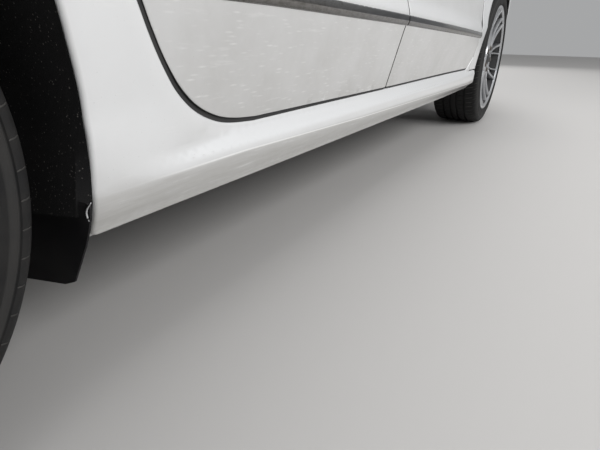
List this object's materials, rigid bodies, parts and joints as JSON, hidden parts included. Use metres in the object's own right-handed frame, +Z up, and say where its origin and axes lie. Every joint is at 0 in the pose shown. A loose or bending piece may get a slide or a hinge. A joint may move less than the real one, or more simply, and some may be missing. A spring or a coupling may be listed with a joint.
{
  "type": "station wagon",
  "caption": "Five-door family station wagon with hinged doors, bonnet and tailgate, steered front wheels and free-turning road wheels.",
  "frame": {"origin": "on the ground, at the middle of the car's length and width", "axes": "+X forwards, +Y to the car's left, +Z up"},
  "size_m": [4.77, 2.1466, 1.4729],
  "materials": {
    "white_paint": "gloss white with clear coat",
    "bumper_paint": "gloss white",
    "black_plastic": "grained black",
    "mirror_shell": "gloss white",
    "clear_lens": "clear",
    "red_lens": "clear red",
    "glass": "tinted",
    "rail_metal": "satin",
    "underbody": "matt black coating",
    "liner_felt": "needled felt",
    "cast_metal": "cast",
    "engine_metal": "cast",
    "tank_plastic": "moulded",
    "exhaust_steel": "dull",
    "trim_plastic": "grained",
    "seat_cloth": "woven",
    "tyre": "rubber",
    "alloy": "silver lacquer"
  },
  "bodies": {
    "body": {"body_shell": "white_paint", "cowl_panel": "black_plastic", "front_fenders": "white_paint", "front_bumper": "bumper_paint", "rear_bumper": "bumper_paint", "grille": "black_plastic", "headlamps": "clear_lens", "tail_lamps": "red_lens", "windscreen": "glass", "quarter_windows": "glass", "roof_panel": "white_paint", "roof_rails": "rail_metal", "floor_pan": "underbody", "arch_liners": "liner_felt", "front_subframe": "underbody", "rear_axle": "underbody", "engine": "engine_metal", "fuel_tank": "tank_plastic", "exhaust": "exhaust_steel", "dashboard": "trim_plastic", "steering_wheel": "trim_plastic", "front_seats": "seat_cloth", "rear_bench": "seat_cloth"},
    "bonnet": {"bonnet": "white_paint"},
    "tailgate": {"tailgate": "white_paint", "tailgate_glass": "glass"},
    "front_door_right": {"front_door_right": "white_paint", "front_door_glass_right": "glass", "mirror_right": "mirror_shell"},
    "front_wheel_right": {"front_tyre_right": "tyre", "front_wheel_right": "alloy"},
    "rear_door_right": {"rear_door_right": "white_paint", "rear_door_glass_right": "glass"},
    "rear_wheel_right": {"rear_tyre_right": "tyre", "rear_wheel_right": "alloy"},
    "front_knuckle_right": {"front_knuckle_right": "cast_metal"},
    "front_door_left": {"front_door_left": "white_paint", "front_door_glass_left": "glass", "mirror_left": "mirror_shell"},
    "front_wheel_left": {"front_tyre_left": "tyre", "front_wheel_left": "alloy"},
    "rear_door_left": {"rear_door_left": "white_paint", "rear_door_glass_left": "glass"},
    "rear_wheel_left": {"rear_tyre_left": "tyre", "rear_wheel_left": "alloy"},
    "front_knuckle_left": {"front_knuckle_left": "cast_metal"}
  },
  "joints": [
    {"name": "steer_right", "type": "hinge", "parent": "body", "child": "front_knuckle_right", "pos_m": [1.471, -0.73, 0.333], "axis": [0, 0, 1], "range_deg": [-34, 34]},
    {"name": "front_wheel_right_spin", "type": "hinge", "parent": "front_knuckle_right", "child": "front_wheel_right", "pos_m": [1.471, -0.784, 0.333], "axis": [0, 1, 0], "continuous": true},
    {"name": "rear_wheel_right_spin", "type": "hinge", "parent": "body", "child": "rear_wheel_right", "pos_m": [-1.32, -0.784, 0.333], "axis": [0, 1, 0], "continuous": true},
    {"name": "steer_left", "type": "hinge", "parent": "body", "child": "front_knuckle_left", "pos_m": [1.471, 0.73, 0.333], "axis": [0, 0, 1], "range_deg": [-34, 34]},
    {"name": "front_wheel_left_spin", "type": "hinge", "parent": "front_knuckle_left", "child": "front_wheel_left", "pos_m": [1.471, 0.784, 0.333], "axis": [0, 1, 0], "continuous": true},
    {"name": "rear_wheel_left_spin", "type": "hinge", "parent": "body", "child": "rear_wheel_left", "pos_m": [-1.32, 0.784, 0.333], "axis": [0, 1, 0], "continuous": true},
    {"name": "front_door_right_hinge", "type": "hinge", "parent": "body", "child": "front_door_right", "pos_m": [0.925, -0.9, 0.6], "axis": [0, 0, 1], "range_deg": [0, 66]},
    {"name": "rear_door_right_hinge", "type": "hinge", "parent": "body", "child": "rear_door_right", "pos_m": [-0.091, -0.91, 0.6], "axis": [0, 0, 1], "range_deg": [0, 68]},
    {"name": "front_door_left_hinge", "type": "hinge", "parent": "body", "child": "front_door_left", "pos_m": [0.925, 0.9, 0.6], "axis": [0, 0, -1], "range_deg": [0, 66]},
    {"name": "rear_door_left_hinge", "type": "hinge", "parent": "body", "child": "rear_door_left", "pos_m": [-0.091, 0.91, 0.6], "axis": [0, 0, -1], "range_deg": [0, 68]},
    {"name": "bonnet_hinge", "type": "hinge", "parent": "body", "child": "bonnet", "pos_m": [1.15, 0, 0.987], "axis": [0, -1, 0], "range_deg": [0, 50]},
    {"name": "tailgate_hinge", "type": "hinge", "parent": "body", "child": "tailgate", "pos_m": [-1.915, 0, 1.388], "axis": [0, 1, 0], "range_deg": [0, 80]}
  ],
  "couplings": [
    {"joint": "steer_left", "follows": "steer_right", "ratio": 1}
  ]
}
